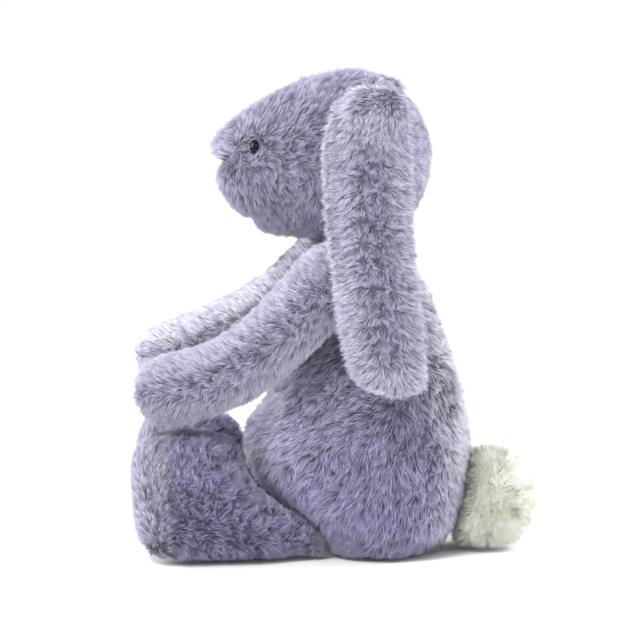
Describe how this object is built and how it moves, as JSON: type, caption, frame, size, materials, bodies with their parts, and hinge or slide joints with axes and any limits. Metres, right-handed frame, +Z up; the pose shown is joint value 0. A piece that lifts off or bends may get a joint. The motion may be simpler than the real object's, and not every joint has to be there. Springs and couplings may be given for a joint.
{
  "type": "plush rabbit",
  "caption": "Seated long-pile plush rabbit with lop ears, bead eyes, forward-reaching stuffed limbs and a round pale tail; head, ears, limbs and tail move at their seams.",
  "frame": {"origin": "on the floor, at the middle of the toy's bounding box", "axes": "+Z up; the rabbit looks along -Y; its left side is +X"},
  "size_m": [0.1526, 0.186, 0.2231],
  "materials": {
    "lavender_plush": "long soft pile, matt with a faint sheen",
    "light_plush": "long soft pile, lighter and combed",
    "cream_plush": "fluffy pile, matt",
    "polyester_fibre": "loose white fibre",
    "pellet_cotton": "unbleached cotton bag of plastic pellets",
    "black_bead": "polished",
    "white_washer": "moulded",
    "pink_floss": "satin-stitched floss",
    "lavender_thread": "twisted thread"
  },
  "bodies": {
    "torso": {"torso_panel_left": "lavender_plush", "torso_panel_right": "lavender_plush", "torso_base_panel": "lavender_plush", "torso_stuffing": "polyester_fibre", "seat_pellet_pouch": "pellet_cotton"},
    "neck": {"neck_roll": "polyester_fibre"},
    "head": {"head_gusset": "lavender_plush", "head_panel_left": "lavender_plush", "head_panel_right": "lavender_plush", "head_stuffing": "polyester_fibre", "eye_left": "black_bead", "eye_right": "black_bead", "eye_washer_left": "white_washer", "eye_washer_right": "white_washer", "nose_stitching": "pink_floss", "mouth_stitch": "lavender_thread"},
    "ear_left": {"ear_outer_left": "light_plush", "ear_inner_left": "light_plush"},
    "ear_right": {"ear_outer_right": "light_plush", "ear_inner_right": "light_plush"},
    "shoulder_left": {"shoulder_seam_left": "lavender_thread"},
    "arm_left": {"arm_outer_panel_left": "light_plush", "arm_inner_panel_left": "light_plush", "arm_stuffing_left": "polyester_fibre"},
    "shoulder_right": {"shoulder_seam_right": "lavender_thread"},
    "arm_right": {"arm_outer_panel_right": "light_plush", "arm_inner_panel_right": "light_plush", "arm_stuffing_right": "polyester_fibre"},
    "hip_left": {"hip_seam_left": "lavender_thread"},
    "leg_left": {"leg_outer_panel_left": "lavender_plush", "leg_inner_panel_left": "lavender_plush", "foot_sole_left": "light_plush", "leg_stuffing_left": "polyester_fibre", "foot_pellet_pouch_left": "pellet_cotton"},
    "hip_right": {"hip_seam_right": "lavender_thread"},
    "leg_right": {"leg_outer_panel_right": "lavender_plush", "leg_inner_panel_right": "lavender_plush", "foot_sole_right": "light_plush", "leg_stuffing_right": "polyester_fibre", "foot_pellet_pouch_right": "pellet_cotton"},
    "tail": {"tail_pom": "cream_plush", "tail_stuffing": "polyester_fibre"}
  },
  "joints": [
    {"name": "neck_turn", "type": "hinge", "parent": "torso", "child": "neck", "pos_m": [0, 0.008, 0.1432], "axis": [0, 0, 1], "range_deg": [-15, 15], "stiffness_Nm_per_rad": 0.3},
    {"name": "head_nod", "type": "hinge", "parent": "neck", "child": "head", "pos_m": [0, 0.008, 0.172], "axis": [1, 0, 0], "range_deg": [-6, 8], "stiffness_Nm_per_rad": 0.6},
    {"name": "ear_lift_left", "type": "hinge", "parent": "head", "child": "ear_left", "pos_m": [0.037, 0.014, 0.2118], "axis": [0, -1, 0], "range_deg": [0, 140]},
    {"name": "ear_lift_right", "type": "hinge", "parent": "head", "child": "ear_right", "pos_m": [-0.037, 0.014, 0.2118], "axis": [0, 1, 0], "range_deg": [0, 140]},
    {"name": "arm_spread_left", "type": "hinge", "parent": "torso", "child": "shoulder_left", "pos_m": [0.0452, -0.001, 0.1315], "axis": [0, 0, 1], "range_deg": [0, 38], "stiffness_Nm_per_rad": 0.06},
    {"name": "arm_raise_left", "type": "hinge", "parent": "shoulder_left", "child": "arm_left", "pos_m": [0.0452, -0.001, 0.1315], "axis": [-1, 0, 0], "range_deg": [0, 60], "stiffness_Nm_per_rad": 0.06},
    {"name": "arm_spread_right", "type": "hinge", "parent": "torso", "child": "shoulder_right", "pos_m": [-0.0452, -0.001, 0.1315], "axis": [0, 0, -1], "range_deg": [0, 38], "stiffness_Nm_per_rad": 0.06},
    {"name": "arm_raise_right", "type": "hinge", "parent": "shoulder_right", "child": "arm_right", "pos_m": [-0.0452, -0.001, 0.1315], "axis": [-1, 0, 0], "range_deg": [0, 60], "stiffness_Nm_per_rad": 0.06},
    {"name": "leg_spread_left", "type": "hinge", "parent": "torso", "child": "hip_left", "pos_m": [0.027, -0.0205, 0.0112], "axis": [0, 0, 1], "range_deg": [0, 25], "stiffness_Nm_per_rad": 0.08},
    {"name": "leg_drop_left", "type": "hinge", "parent": "hip_left", "child": "leg_left", "pos_m": [0.027, -0.0205, 0.0112], "axis": [1, 0, 0], "range_deg": [0, 75], "stiffness_Nm_per_rad": 0.08},
    {"name": "leg_spread_right", "type": "hinge", "parent": "torso", "child": "hip_right", "pos_m": [-0.027, -0.0205, 0.0112], "axis": [0, 0, -1], "range_deg": [0, 25], "stiffness_Nm_per_rad": 0.08},
    {"name": "leg_drop_right", "type": "hinge", "parent": "hip_right", "child": "leg_right", "pos_m": [-0.027, -0.0205, 0.0112], "axis": [1, 0, 0], "range_deg": [0, 75], "stiffness_Nm_per_rad": 0.08},
    {"name": "tail_wag", "type": "hinge", "parent": "torso", "child": "tail", "pos_m": [0, 0.0633, 0.0238], "axis": [0, 0, 1], "range_deg": [-12, 12], "stiffness_Nm_per_rad": 0.05}
  ]
}
